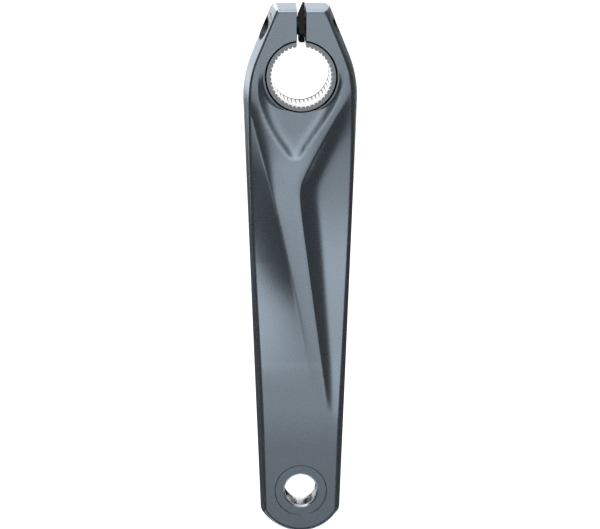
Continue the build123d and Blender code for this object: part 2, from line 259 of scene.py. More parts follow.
# Arm: a drafted forging with a flared front, two sunk panels and a scoop under the bore
armForm = {
    "crankLength": 170.0,
    "bossDepth": 23.0,
    "bossHalfWidth": 23.2,
    "widestHeight": -9.0,
    "clampTop": 28.6,
    "clampCorner": 3.316,
    "shoulderAngle": 22.0,
    "shoulderRadius": 45.0,
    "pedalOut": 31.0,
    "pedalThickness": 14.0,
    "pedalHalfWidth": 16.7,
    "pedalEndRadius": 19.0,
    "pedalCorner": 4.5,
    "pedalPartingDepth": 8.0,
    "draft": 11.0,
    "frontEdge": 1.15,
    "backEdge": 1.1,
    "frontFlare": (-22.0, -150.0, 200.0),  # start, end and the arcs' radius
    "backFlare": (-20.0, -134.0),
    "ridgeEdge": (0.2, 3.2),  # fall of the ridge towards its two creases and the width of that
    "ridgeEnds": (-8.0, -30.0, -100.0, -150.0),  # heights where that fall starts, is full, wanes and ends
    "panelRise": 0.8,  # how far a panel's curve goes on above the ridge
    "panelOverrun": 0.05,  # how far it goes on beyond the panel's end, as a share of the length
    "creaseRounding": 0.25,
    "leftCrease": (-21.1, -12.0, 3.0, -118.0, 1.6),  # top x and z, foot x and z, bow
    "leftPanel": (-10.0, -127.0, 4.6, 0.91),  # top, foot, depth and the skew that moves the deepest place
    "leftPowers": (1.2, 1.8, 0.4, 0.8),  # of its wave at top and foot, and the shares where they change
    "leftRun": (11.0, -40.0, 0.35),  # width of its slope, and a height below which it grows by a rate
    "leftRoll": (-36.0, -76.0, 0.2),  # heights where it turns from a roll to a cove, and the roll's hollow
    "leftFlank": (1.25, 7.5),  # depth and width of the roll beside the boss
    "leftFlankEnds": (-3.0, -15.0, -24.0, -58.0),  # heights where it starts, is full, wanes and ends
    "rightKnee": (-1.4, -44.8, 0.547, -0.139, 1.5),  # x, z, upper and lower slope, offset
    "rightCreaseEdge": (19.5, 2.5),  # where the crease turns along the flank, and that turn's rounding
    "rightPanel": (10.0, -152.0, 4.6, 0.8, 0.1),  # top, foot, depth, skew and fade
    "rightPowers": (2.5, 1.6, 0.5, 0.8),
    "rightRun": (12.0, -40.0, -0.07),
    "rightCove": 3.0,  # power of the cove's decay
    "scoopTip": (-2.3, -35.2),
    "scoopSlopes": (-0.81, 0.704),  # of its left and right edge from the tip
    "scoopSide": (17.3, 8.0),  # where the edges turn upright, and that turn's rounding
    "scoopDepth": (-34.0, 0.7, 0.024, 1.9, 0.4),  # foot's height, depth there, growth, limit and rounding
    "scoopRun": (1.0, 0.5, 4.5, 2.0),  # walls' width at the tip, share of the half width, limit and rounding
    "scoopTop": (3.0, -5.0),  # over these heights the scoop runs out
    "scoopFold": 4.0,  # rounding where the two walls meet
    "scoopRim": (0.3, 0.12),  # how far its curve goes on outside, in runs, and the rim's rounding
    "columns": 84,
    "rows": 370,
    "arcPoints": 60,
    "rimPoints": 6,
    "wallShares": (0.04, 0.35, 0.7),  # places of the walls' rows between the parting plane and a rim
    "rimSearch": (11.0, 16, 0.8),  # depth where the search for a rim starts, its steps and the gain of each
    "footDirection": -55.0,  # on the end arc, where the sides of the face's grid give way to its foot
    "gridEdge": (2.0, 8.0),  # how far the grid's half width is inside the outline's, and its least value
    "gather": 0.62,  # how closely columns gather at two knots that follow the creases
    "knotRest": (0.3, 0.7),  # places of the knots beyond the creases, as shares of the width
    "knotEnds": (27.5, -186.0),  # heights beyond which both rest
    "knotTop": 30.0,  # height where their way to the creases begins
    "knotGap": 0.06,
    "leftKnot": (-14.0, -118.0, 0.06, 0.58, -150.0),  # from and to a height, limits, height of its rest
    "rightKnot": (3.0, -152.0, 0.42, 0.94, -186.0),
    "sharpEdge": 60.0,
}


def leftCrease(z, a):
    # a straight run from the boss's flank to the foot, bowed to the right
    topX, topZ, footX, footZ, bow = a["leftCrease"]
    t = (topZ - z) / (topZ - footZ)
    return topX + (footX - topX) * t + bow * 4 * t * (1 - t)


def rightCrease(z, a):
    # two straight runs that meet in a hyperbola's knee, and turn along the flank near the top
    x, knee, upperSlope, lowerSlope, offset = a["rightKnee"]
    upper = x + upperSlope * (z - knee)
    lower = x + lowerSlope * (z - knee)
    crease = (upper + lower) / 2 + np.sqrt(((upper - lower) / 2) ** 2 + offset**2)
    return softMin(crease, *a["rightCreaseEdge"])


def edgeRoll(past, width):
    # a parabola that is one from the crease on, and nought a width before it
    return np.clip((past + width) / width, 0, 1) ** 2


def wavePower(wave, share, powers):
    # the wave to a power that changes along the panel, with the wave's sign
    upper, lower, start, end = powers
    return np.sign(wave) * np.abs(wave) ** (upper + (lower - upper) * smoothStep(share, start, end))


def runBelow(z, run, height, growth):
    # a slope's width, which changes in proportion below a height
    return run + growth * np.maximum(height - z, 0)


def leftPanelOut(ridge, past, z, a):
    # depth along the arm: half a sine wave to a power; across it: a parabola that crosses the ridge's level
    # at the crease and ends at the panel's floor one run past it, a cove where hollow is one and a roll
    # where it is nought
    top, foot, depth, skew = a["leftPanel"]
    share = np.clip((top - z) / (top - foot), -a["panelOverrun"], 1)
    share = np.sign(share) * np.abs(share) ** skew
    depth = depth * wavePower(np.sin(np.pi * share), share, a["leftPowers"])
    start, end, least = a["leftRoll"]
    hollow = least + (1 - least) * np.clip((start - z) / (start - end), 0, 1)
    run = runBelow(z, *a["leftRun"])
    rise = a["panelRise"]
    floor = np.maximum(depth, rise / 2)
    overhang = run * rise / (hollow * floor + np.sqrt((hollow * floor) ** 2 + rise * floor))
    t = np.clip((past + overhang) / (run + overhang), 0, 1)
    return ridge + rise * (1 - t) ** 2 - depth * (2 * t * (1 - t) * hollow + t * t)


def rightPanelOut(ridge, past, z, a):
    # depth along the arm: half a skewed sine wave to a power; across it: a power curve that crosses the
    # ridge's level at the crease and dies out at the floor one run past it
    top, foot, depth, skew, fade = a["rightPanel"]
    share = np.clip((top - z) / (top - foot), 0, 1 + a["panelOverrun"])
    depth = depth * wavePower(np.sin(np.pi * share**skew), share, a["rightPowers"]) - fade
    run = runBelow(z, *a["rightRun"])
    rise, power = a["panelRise"], a["rightCove"]
    floor = np.maximum(depth, rise / 2)
    stretch = (1 + rise / floor) ** (1 / power)
    t = np.clip((past + run * (stretch - 1)) / (run * stretch), 0, 1)
    return ridge + (rise + depth) * (1 - t) ** power - depth


def scoopOut(level, x, z, a):
    # a bowl between two edges that meet at the tip, its depth a parabola of the distance inside them
    tipX, tipZ = a["scoopTip"]
    leftSlope, rightSlope = a["scoopSlopes"]
    side, rounding = a["scoopSide"]
    leftEdge = softMax(tipX + leftSlope * (z - tipZ), -side, rounding)
    rightEdge = softMin(tipX + rightSlope * (z - tipZ), side, rounding)
    foot, depth, growth, limit, rounding = a["scoopDepth"]
    depth = softMin(depth + growth * np.maximum(z - foot, 0), limit, rounding) * smoothStep(z, *a["scoopTop"])
    least, part, limit, rounding = a["scoopRun"]
    run = softMin(least + part * np.maximum((rightEdge - leftEdge) / 2, 0), limit, rounding)
    fromLeft = (x - leftEdge) / np.hypot(1, leftSlope)
    fromRight = (rightEdge - x) / np.hypot(1, rightSlope)
    t = np.clip(softMin(fromLeft, fromRight, a["scoopFold"]) / run, -a["scoopRim"][0], 1)
    return level - depth * (1 - (1 - t) ** 2)


def armFront(x, z, a=armForm):
    # ridge level, lowered by the rolls of its edges, the two panels and the scoop
    level = rampOut(z, *a["frontFlare"], a["bossDepth"], a["pedalOut"])
    pastLeft = leftCrease(z, a) - x
    pastRight = x - rightCrease(z, a)
    fall, width = a["ridgeEdge"]
    fall = fall * riseAndWane(z, *a["ridgeEnds"])
    ridge = level - fall * (edgeRoll(pastLeft, width) + edgeRoll(pastRight, width))
    depth, width = a["leftFlank"]
    out = ridge - depth * riseAndWane(z, *a["leftFlankEnds"]) * edgeRoll(pastLeft, width)
    out = softMin(out, leftPanelOut(out, pastLeft, z, a), a["creaseRounding"])
    out = softMin(out, rightPanelOut(ridge, pastRight, z, a), a["creaseRounding"])
    return softMin(out, scoopOut(level, x, z, a), a["scoopRim"][1])


def armBack(x, z, a=armForm):
    # plain, and flared from the boss to the pedal end
    return flareOut(z, *a["backFlare"], 0, a["pedalOut"] - a["pedalThickness"])


def armOutline(a):
    # right half of the parting outline, from the top's middle to the foot's: line, corner, shoulder, arc,
    # tapered side, corner and end arc, each as points with the angle of the outward normal
    turn = np.radians(a["shoulderAngle"])
    partingOut = a["bossDepth"] / 2
    lean = a["pedalOut"] - a["pedalPartingDepth"] - partingOut
    run = np.hypot(a["crankLength"], lean)
    taper = np.arctan2(a["bossHalfWidth"] - a["pedalHalfWidth"], run + a["widestHeight"])
    centre = np.array([a["bossHalfWidth"] - a["shoulderRadius"], a["widestHeight"]])
    shoulder = centre + a["shoulderRadius"] * np.array([np.cos(turn), np.sin(turn)])
    clampHalf = shoulder[0] - (a["clampTop"] - shoulder[1]) * np.tan(turn)
    setBack = a["clampCorner"] * np.tan((np.pi / 2 - turn) / 2)
    corner = np.array([clampHalf - setBack, a["clampTop"] - a["clampCorner"]])
    normal = np.array([np.cos(taper), -np.sin(taper)])
    sideTop = centre + a["shoulderRadius"] * normal
    pedal = np.array([0, -run])
    reach = (sideTop - pedal) @ normal
    inner = a["pedalEndRadius"] - a["pedalCorner"]
    slide = np.sqrt(inner**2 - (reach - a["pedalCorner"]) ** 2)
    foot = pedal + normal * (reach - a["pedalCorner"]) + slide * np.array([-np.sin(taper), -np.cos(taper)])
    footAngle = np.arctan2(*(foot - pedal)[::-1])
    count = a["arcPoints"]

    def arc(middle, radius, start, end):
        angle = np.linspace(start, end, count)
        ring = np.stack([np.cos(angle), np.sin(angle)], axis=-1)
        return np.column_stack([middle + radius * ring, angle])

    stretches = [
        np.array([[0, a["clampTop"], np.pi / 2]]),
        arc(corner, a["clampCorner"], np.pi / 2, turn),
        arc(centre, a["shoulderRadius"], turn, -taper),
        arc(foot, a["pedalCorner"], -taper, footAngle),
        arc(pedal, a["pedalEndRadius"], footAngle, -np.pi / 2),
    ]
    line = np.concatenate(stretches)
    travel = np.concatenate([[0], np.cumsum(np.hypot(*np.diff(line[:, :2], axis=0).T))])
    topEnd = travel[1 : 1 + count].mean()
    footStart = np.interp(-np.radians(a["footDirection"]), -line[-count:, 2], travel[-count:])
    return line, travel, topEnd, footStart, np.arctan2(lean, a["crankLength"]), partingOut


def makeArm(a):
    # rows of points carried round the outline make the walls and rims, and a grid closes each face
    line, travel, topEnd, footStart, tilt, partingOut = armOutline(a)
    slope = np.tan(np.radians(a["draft"]))
    rows, columns = a["rows"], a["columns"]

    def outlineAt(s, side):
        # point and outward normal of the outline at a distance s along it, on either side
        x, y, angle = (np.interp(s, travel, line[:, k]) for k in range(3))
        return np.stack([side * x, y, side * np.cos(angle), np.sin(angle)])

    def offWall(edge, depth):
        # a point of the drafted wall: off the parting plane by depth, drawn in by the draft
        x = edge[0] - edge[2] * np.abs(depth) * slope
        y = edge[1] - edge[3] * np.abs(depth) * slope
        out = partingOut - y * np.sin(tilt) + depth * np.cos(tilt)
        return x, out, y * np.cos(tilt) + depth * np.sin(tilt)

    def rims(edge):
        # rows round the arm from the back face over its rounded rim, the two walls and the front rim
        first, steps, gain = a["rimSearch"]

        def meet(level, depth):
            # depth at which the wall reaches the face, closer with each step
            for _ in range(steps):
                x, out, z = offWall(edge, depth)
                depth = depth + gain * (level(x, z) - out)
            return depth

        def rounding(level, depth, radius):
            # quadratic curve from the wall to the face, with the sharp edge as its middle control point
            wall = np.stack(offWall(edge, depth - np.sign(depth) * radius))
            x, out, z = offWall(edge, depth)
            sharp = np.stack([x, out, z])
            faceX = x - edge[2] * radius
            faceZ = z - edge[3] * radius * np.cos(tilt)
            face = np.stack([faceX, level(faceX, faceZ), faceZ])
            t = np.linspace(0, 1, a["rimPoints"])[:, None, None]
            return (1 - t) ** 2 * wall + 2 * t * (1 - t) * sharp + t**2 * face

        front = meet(armFront, np.full(edge.shape[1], first))
        back = meet(armBack, np.full(edge.shape[1], -first))
        frontRows = rounding(armFront, front, a["frontEdge"])
        backRows = rounding(armBack, back, a["backEdge"])[::-1]
        shares = np.array(a["wallShares"])[:, None]
        depths = np.concatenate([(back + a["backEdge"]) * shares[::-1], (front - a["frontEdge"]) * shares])
        walls = np.stack([np.stack(offWall(edge, depth)) for depth in depths])
        return np.concatenate([backRows, walls, frontRows]).transpose(0, 2, 1)

    v = np.linspace(0, 1, rows + 1)
    sideRun = topEnd + (footStart - topEnd) * v
    right = outlineAt(sideRun, 1)
    left = outlineAt(sideRun, -1)
    rowZ = right[1] * np.cos(tilt)
    inset, leastHalf = a["gridEdge"]
    halfWidth = np.maximum(right[0] - inset, leastHalf)

    def knot(crease, start, end, least, most, restHeight, rest):
        # place of a crease in each row as a share of the width, which goes to its rest beyond the crease
        z = np.linspace(start, end, a["arcPoints"])
        half = np.interp(-z, -rowZ, halfWidth)
        share = np.clip((crease(z, a) + half) / (2 * half), least, most)
        heights = np.concatenate([[a["knotTop"]], z, [restHeight]])
        return np.interp(-rowZ, -heights, np.concatenate([[rest], share, [rest]]))

    leftRest, rightRest = a["knotRest"]
    rightKnot = knot(rightCrease, *a["rightKnot"], rightRest)
    leftKnot = np.minimum(knot(leftCrease, *a["leftKnot"], leftRest), rightKnot - a["knotGap"])
    ends = (rowZ > a["knotEnds"][0]) | (rowZ < a["knotEnds"][1])
    leftKnot[ends] = leftRest
    rightKnot[ends] = rightRest

    def crowd(low, high, count):
        # columns from one line to the next, drawn towards both by a sine of their place
        t = np.linspace(0, 1, count + 1)[:-1]
        t = t - a["gather"] * np.sin(2 * np.pi * t) / (2 * np.pi)
        return low[:, None] + (high - low)[:, None] * t

    zero = np.zeros(rows + 1)
    third = columns // 3
    thirds = [
        crowd(zero, leftKnot, third),
        crowd(leftKnot, rightKnot, third),
        crowd(rightKnot, zero + 1, columns - 2 * third),
    ]
    u = np.concatenate(thirds + [zero[:, None] + 1], axis=1)

    topSide = np.where(u[0] < 0.5, -1, 1)
    top = outlineAt(np.abs(2 * u[0] - 1) * topEnd, topSide)
    footSide = np.where(u[-1] < 0.5, -1, 1)
    foot = outlineAt(travel[-1] - np.abs(2 * u[-1] - 1) * (travel[-1] - footStart), footSide)
    loop = np.concatenate([top[:, :-1], right[:, :-1], foot[:, :0:-1], left[:, :0:-1]], axis=1)
    rimRows = rims(loop)  # row, point, (x, out, z)
    count = loop.shape[1]
    index = np.arange(rimRows.shape[0] * count).reshape(rimRows.shape[0], count)

    # where each point of a face grid's border sits in the loop
    border = np.zeros((rows + 1, columns + 1), dtype=int)
    border[0, :] = np.arange(columns + 1)
    border[:, columns] = columns + np.arange(rows + 1)
    border[rows, ::-1] = columns + rows + np.arange(columns + 1)
    border[::-1, 0] = (2 * columns + rows + np.arange(rows + 1)) % count

    def faceGrid(rim, level):
        # Coons patch: both ruled surfaces of its border, less the bilinear one, lifted to the level
        edgeTop, edgeFoot = rim[border[0]], rim[border[rows]]
        edgeLeft, edgeRight = rim[border[:, 0]], rim[border[:, columns]]
        w = v[:, None]
        flat = []
        for k in (0, 2):
            upper = np.interp(u, u[0], edgeTop[:, k])
            lower = np.interp(u, u[-1], edgeFoot[:, k])
            ruled = (1 - w) * upper + w * lower + (1 - u) * edgeLeft[:, k, None] + u * edgeRight[:, k, None]
            corners = (1 - u) * ((1 - w) * edgeTop[0, k] + w * edgeFoot[0, k])
            corners = corners + u * ((1 - w) * edgeTop[-1, k] + w * edgeFoot[-1, k])
            flat.append(ruled - corners)
        return np.stack([flat[0], level(*flat), flat[1]], axis=-1)[1:-1, 1:-1].reshape(-1, 3)

    frontInner = faceGrid(rimRows[-1], armFront)
    backInner = faceGrid(rimRows[0], armBack)
    points = np.concatenate([rimRows.reshape(-1, 3), frontInner, backInner])
    innerIndex = np.arange(len(frontInner)).reshape(rows - 1, columns - 1)
    frontIndex = index[-1][border]
    frontIndex[1:-1, 1:-1] = index.size + innerIndex
    backIndex = index[0][border]
    backIndex[1:-1, 1:-1] = index.size + len(frontInner) + innerIndex
    quads = np.concatenate([gridFaces(index, wrap=True), gridFaces(frontIndex), gridFaces(backIndex)])
    return putMesh("crankArmForging", points * np.array([1, -1, 1]), quads, sharp=a["sharpEdge"])


arm = makeArm(armForm)
print("arm surface", len(arm.data.vertices))

# What is machined out of the arm, and the collar that is left round its bore
machining = {
    "splines": 44,
    "splineTip": 12.0,
    "splineRoot": 12.55,
    "rootHalf": 0.14,
    "tipHalf": 0.26,
    "backRing": 2.0,
    "seatRadius": 13.95,
    "seatOut": 22.4,
    "grooveRadius": 14.6,
    "grooveFloor": 20.9,
    "lipBreak": 0.2,
    "lip": (15.1, 1.7, 1.3, 0.02),  # start, width and drop of its roll, and its place under the face
    "lipFade": (0.2, 0.85),  # sideways shares of the radius between which the lip begins
    "lipRows": 10,
    "collarFoot": 5.0,
    "slitHalf": 1.8,
    "slitBreak": 0.25,
    "slitHeights": (9.0, 45.0),
    "boltHeight": 19.5,
    "boltOuts": (15.4, 6.2),
    "boltHole": 3.08,
    "boltReach": 30.0,
    "pocketRadius": 5.3,
    "pocketFloor": 6.6,
    "pedalHole": 6.6,
    "pedalThread": (1.27, 0.4, 6),  # pitch, depth and rows in a pitch
    "pedalChamfer": 0.6,
    "pedalSeat": (10.8, 0.3, 0.2),  # radius, depth and the fine line round it
    "past": 1.0,  # how far a cutter reaches past a face
    "collarPoints": 180,
    "pedalPoints": 72,
    "boltPoints": 64,
    "sharpEdge": 34.0,
}


def alongSpindle(points):
    # axis coordinate is the distance out, the other two are x and z
    out, x, z = points.T
    return np.stack([x, -out, z], axis=-1)


def alongPedal(points):
    return alongSpindle(points) + np.array([0, 0, -armForm["crankLength"]])


def alongBolt(points, out, side, start=0.0):
    # axis coordinate runs sideways from the start, the other two are y and z
    along, y, z = points.T
    return np.stack([side * (along + start), y - out, z + machining["boltHeight"]], axis=-1)


def makeCollar(c):
    # disc round the bore that stands up out of the scoop; its lip beside the bore rolls off as a parabola
    around = fullTurn(c["collarPoints"])
    start, width, drop, under = c["lip"]
    t = np.concatenate([[1], np.linspace(1, 0, c["lipRows"])])[:, None]
    seat = (c["seatRadius"] + c["grooveRadius"]) / 2
    radius = seat + (start + width * t - seat) * smoothStep(np.abs(np.cos(around)), *c["lipFade"])
    along = np.concatenate([[c["collarFoot"]], armForm["bossDepth"] - under - drop * t[1:, 0] ** 2])
    return turnedPiece("collar", radius, along, around, alongSpindle)


def makeBoreCutter(c):
    # each spline groove is a trapezium cut into the tip circle, so the radius is a stepped ramp of the angle
    pitch = 2 * np.pi / c["splines"]
    tip, root = c["splineTip"], c["splineRoot"]
    tipAngle, rootAngle = c["tipHalf"] / tip, c["rootHalf"] / root
    steps = np.array([-tipAngle, -rootAngle, 0, rootAngle, tipAngle, pitch / 2])
    around = (np.arange(c["splines"])[:, None] * pitch + steps).ravel()
    tooth = np.tile([tip, root, root, root, tip, tip], c["splines"])
    ring = np.ones_like(tooth)
    face = armForm["bossDepth"]
    coat, spline, seat, shadeLine = range(4)  # order of the cutter's materials
    # the back rim's ring and the groove's walls and floor take the painted shade, a near-black line
    rows = [
        (-c["past"], ring * tip, shadeLine),
        (c["backRing"], ring * tip, coat),
        (c["backRing"], tooth, spline),
        (c["seatOut"], tooth, seat),
        (c["seatOut"], ring * c["seatRadius"], shadeLine),
        (c["grooveFloor"], ring * c["seatRadius"], shadeLine),
        (c["grooveFloor"], ring * c["grooveRadius"], shadeLine),
        (face - c["lipBreak"], ring * c["grooveRadius"], coat),
        (face + c["past"], ring * (c["grooveRadius"] + c["lipBreak"] + c["past"]), coat),
    ]
    along, radius, bands = zip(*rows)
    return turnedPiece("boreCutter", np.stack(radius), along, around, alongSpindle, bands=bands[:-1])


def makePedalCutter(c):
    # left-hand thread: the wall is cut back by a triangle wave of the height and the angle together
    around = fullTurn(c["pedalPoints"])
    pitch, cut, steps = c["pedalThread"]
    edge, sunk, line = c["pedalSeat"]
    past = c["past"]
    front = armForm["pedalOut"]
    face = front - sunk
    back = front - armForm["pedalThickness"]
    wall = np.arange(back + c["pedalChamfer"], face - c["pedalChamfer"], pitch / steps)
    phase = (wall[:, None] / pitch + around / (2 * np.pi)) % 1
    wave = 1 - np.abs(2 * phase - 1)
    fade = np.clip(np.minimum(wall - wall[0], wall[-1] - wall) / pitch, 0, 1)[:, None]
    ring = np.ones((1, len(around)))
    wide = c["pedalHole"] + c["pedalChamfer"]
    radius = [ring * (wide + past), ring * wide, c["pedalHole"] + cut * wave * fade, ring * wide]
    radius += [ring * r for r in (edge - 2 * line, edge - line, edge, edge + past)]
    along = np.concatenate([[back - past, back], wall, [face, face, face - line, front, front + past]])
    bands = np.zeros(len(along) - 1, int)
    bands[2 : 1 + len(wall)] = 1  # the thread is bare metal
    return turnedPiece("pedalCutter", np.concatenate(radius), along, around, alongPedal, bands=bands)


def makeBoltCutter(c, out, side):
    # a hole right through, widened to the head's pocket on one side
    along = [-c["boltReach"], c["pocketFloor"], c["pocketFloor"], c["boltReach"]]
    radius = np.array([c["boltHole"], c["boltHole"], c["pocketRadius"], c["pocketRadius"]])[:, None]

    def place(points):
        return alongBolt(points, out, side)

    return turnedPiece("boltCutter", radius, along, fullTurn(c["boltPoints"]), place)


def makeSlitCutter(c):
    # a slab up through the clamp, flared at the outer face so that its edges are broken
    face = armForm["bossDepth"]
    half = c["slitHalf"] + np.array([0, 0, 0, c["slitBreak"] + c["past"]])
    out = np.array([-c["past"], c["past"], face - c["slitBreak"], face + c["past"]])
    x = np.concatenate([half, -half[::-1]])
    y = np.concatenate([-out, -out[::-1]])
    count = len(x)
    points = np.concatenate([np.column_stack([x, y, np.full(count, height)]) for height in c["slitHeights"]])
    index = np.arange(2 * count).reshape(2, count)
    i = np.arange(len(half) - 1)
    caps = np.stack([i, i + 1, count - 2 - i, count - 1 - i], axis=-1)
    return putMesh("slitCutter", points, np.concatenate([gridFaces(index, wrap=True), caps, caps + count]))


# Coating: satin metallic paint with fine flake and a slight drift of tone
coatingLook = {
    "name": "satinGreyCoating",
    "colour": (0.43, 0.515, 0.595, 1),
    "drift": (0.39, 0.47, 0.55, 1),
    "metallic": 0.9,
    "roughness": 0.28,
    "specular": 0.5,
    "cloud": (45.0, 3.0, 0.06),  # scale, detail and its part in the roughness
    "flake": (1 / 0.00016, 1.0, 0.10),
    "flakeShare": 0.3,  # of the flake in the drift of tone, beside the cloud
    "bump": 0.06,
    "bumpHeight": 0.00002,
}
# a darker copy of the coating that paints shade into the bolt pockets and their holes
pocketShadeLook = dict(
    coatingLook, name="paintedPocketShade", colour=(0.06, 0.065, 0.07, 1), drift=(0.045, 0.05, 0.055, 1)
)
# a near-black copy of the coating that paints shade as thin dark lines into the groove round the bore and
# onto the bore's back rim
paintedShadeLook = dict(
    coatingLook,
    name="paintedShadeLines",
    colour=(0.008, 0.009, 0.01, 1),
    drift=(0.005, 0.005, 0.006, 1),
    metallic=0.0,
    specular=0.0,
)


def makeCoating(look):
    # two tones mixed by cloud and flake, which also change the roughness; the flake alone makes the bump
    material, tree = newMaterial(look["name"])
    place = objectPlace(tree)
    cloudScale, cloudDetail, cloudPart = look["cloud"]
    flakeScale, flakeDetail, flakePart = look["flake"]
    cloud = noiseAt(tree, place, cloudScale, cloudDetail)
    flake = noiseAt(tree, place, flakeScale, flakeDetail)
    share = look["flakeShare"]
    mix = {"Factor": cloud * (1 - share) + flake * share, 6: look["drift"], 7: look["colour"]}
    tone = addNode(tree, "ShaderNodeMix", {"data_type": "RGBA"}, mix, output=2)
    sockets = {
        "Base Color": tone,
        "Metallic": look["metallic"],
        "Specular IOR Level": look["specular"],
        "Roughness": look["roughness"] + (flake - 0.5) * flakePart + (cloud - 0.5) * cloudPart,
    }
    finishSurface(tree, look, flake, sockets)
    return material


# Bare turned aluminium, with rings round each hole's axis
turnedLook = {
    "colour": (0.93, 0.93, 0.93, 1),
    "roughness": 0.16,
    "ring": 0.00022,
    "grain": (1800.0, 2.0, 0.08),  # scale, detail and its part in the roughness
    "relief": (0.5, 0.4),  # parts of the rings and the grain in the bump
    "bump": 0.02,
    "bumpHeight": 0.00002,
}
seatLook = dict(turnedLook, colour=(0.46, 0.49, 0.52, 1), roughness=0.32, bump=0.03)


def makeTurned(look, name, middle):
    # a sine wave of the distance from the axis, which passes through the middle's height
    material, tree = newMaterial(name)
    place = objectPlace(tree)
    x, height = outputsOf(tree, "ShaderNodeSeparateXYZ", ("X", "Z"), {"Vector": place})
    z = height - middle
    phase = (x * x + z * z) ** 0.5 * (2 * np.pi / look["ring"])
    scale, detail, part = look["grain"]
    grain = noiseAt(tree, place, scale, detail)
    ringRelief, grainRelief = look["relief"]
    sockets = {
        "Base Color": look["colour"],
        "Metallic": 1.0,
        "Roughness": look["roughness"] + (grain - 0.5) * part,
    }
    finishSurface(tree, look, phase.maths("SINE", phase) * ringRelief + grain * grainRelief, sockets)
    return material


coating = makeCoating(coatingLook)
paintedShadeLines = makeCoating(paintedShadeLook)
pocketPaintedShade = makeCoating(pocketShadeLook)
splineMetal = makeTurned(turnedLook, "broachedSplines", 0.0)
turnedSeat = makeTurned(seatLook, "turnedSeat", 0.0)
pedalMetal = makeTurned(turnedLook, "threadedHole", -armForm["crankLength"] * mm)

collar = makeCollar(machining)
boreCutter = makeBoreCutter(machining)
pedalCutter = makePedalCutter(machining)
slitCutter = makeSlitCutter(machining)
outerBoltOut, innerBoltOut = machining["boltOuts"]
outerCutter = makeBoltCutter(machining, outerBoltOut, -1)
innerCutter = makeBoltCutter(machining, innerBoltOut, 1)
paint(arm, coating)
paint(collar, coating)
# the groove round the bore and the bore's back rim get the near-black painted shade
paint(boreCutter, coating, splineMetal, turnedSeat, paintedShadeLines)
paint(pedalCutter, coating, pedalMetal)
paint(slitCutter, coating)
# the bolt pockets and their holes get the painted shade
paint(outerCutter, pocketPaintedShade)
paint(innerCutter, pocketPaintedShade)
carve(arm, collar, [boreCutter, pedalCutter, slitCutter, outerCutter, innerCutter], machining["sharpEdge"])
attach(arm, "arm")
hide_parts("crank_arm")
print("arm machined", len(arm.data.polygons), [m.name for m in arm.data.materials])

# Pinch bolts: socket head with a knurled side, and a threaded shank
boltForm = {
    "headSeat": 7.6,
    "headHeight": 5.5,
    "headRadius": 5.0,
    "headRim": ((0.0, 0.7), (0.08, 0.35), (0.32, 0.12)),  # below the top and inside the radius
    "headFoot": ((0.25, 0.12), (0.0, 0.3)),  # above the seat and inside the radius
    "socketAcross": 5.0,
    "socketDepth": 3.0,
    "socketBreak": (0.25, 1.2),  # depth of its broken edge, and that edge's width as a share of the socket's
    "socketFloor": (0.6, 0.05, 0.97, 0.05),  # cone's depth and tip, corner's share of the hexagon and height
    "shank": 3.0,
    "shankRoot": 0.02,
    "shankNeck": 0.6,
    "shankBreak": 0.6,
    "length": 20.0,
    "thread": (1.0, 0.36, 5),  # pitch, depth and rows in a pitch
    "knurls": 48,
    "knurlDepth": 0.1,
    "knurlEnds": (0.55, 0.6),  # above the seat and below the top
    "sharpEdge": 30.0,
}


def makeBolt(name, b, out, side):
    # radius by angle and place along the axis: hexagonal socket, knurled head, helical thread on the shank
    around = fullTurn(2 * b["knurls"])
    ring = np.ones_like(around)
    sector = (around + np.pi / 6) % (np.pi / 3) - np.pi / 6
    socketHalf = b["socketAcross"] / 2
    hexagon = socketHalf / np.cos(sector)
    knurl = b["headRadius"] - b["knurlDepth"] * (np.arange(len(around)) % 2)
    knurlFoot, knurlTop = b["knurlEnds"]
    top = b["headHeight"]
    floor = top - b["socketDepth"]
    coneDepth, coneTip, cornerShare, cornerHeight = b["socketFloor"]
    breakDepth, breakShare = b["socketBreak"]
    rows = [
        (floor - coneDepth, ring * coneTip),
        (floor, hexagon * cornerShare),
        (floor + cornerHeight, hexagon),
        (top - breakDepth, hexagon),
        (top, np.maximum(hexagon, socketHalf * breakShare)),
    ]
    rows += [(top - below, ring * (b["headRadius"] - inside)) for below, inside in b["headRim"]]
    rows += [(top - knurlTop, knurl), (knurlFoot, knurl)]
    rows += [(above, ring * (b["headRadius"] - inside)) for above, inside in b["headFoot"]]
    rows += [(0.0, ring * (b["shank"] + b["shankRoot"]))]
    pitch, cut, steps = b["thread"]
    wall = np.arange(-b["shankNeck"], -b["length"] + b["shankBreak"], -pitch / steps)
    phase = (wall[:, None] / pitch - around / (2 * np.pi)) % 1
    fade = np.clip((-wall - b["shankNeck"]) / pitch, 0, 1)[:, None]
    thread = b["shank"] - cut * np.abs(2 * phase - 1) * fade
    end = ring[None] * (b["shank"] - b["shankBreak"])
    along = np.concatenate([[r[0] for r in rows], wall, [-b["length"]]])
    radius = np.concatenate([np.stack([r[1] for r in rows]), thread, end])

    def place(points):
        return alongBolt(points, out, side, b["headSeat"])

    return turnedPiece(name, radius, along, around, place, b["sharpEdge"])


# Washers: flat rings with broken edges
washerForm = {"inner": 3.08, "outer": 5.0, "thickness": 1.0, "edge": 0.12, "points": 72, "sharpEdge": 30.0}


def makeWasher(name, w, out, side):
    # closed ring section carried round the bolt's axis, on the pocket's floor
    around = fullTurn(w["points"])
    low, high, thick, edge = w["inner"], w["outer"], w["thickness"], w["edge"]
    innerSide = [(low + edge, 0), (low, edge), (low, thick - edge), (low + edge, thick)]
    outerSide = [(high - edge, thick), (high, thick - edge), (high, edge), (high - edge, 0)]
    section = np.array(innerSide + outerSide)
    radius, along = section[:, :1], section[:, 1:]
    rings = np.stack([along + 0 * around, radius * np.cos(around), radius * np.sin(around)], axis=-1)
    points = alongBolt(rings.reshape(-1, 3), out, side, machining["pocketFloor"])
    index = np.arange(len(points)).reshape(len(section), len(around))
    index = np.concatenate([index, index[:1]])
    return putMesh(name, points, gridFaces(index, wrap=True), sharp=w["sharpEdge"])


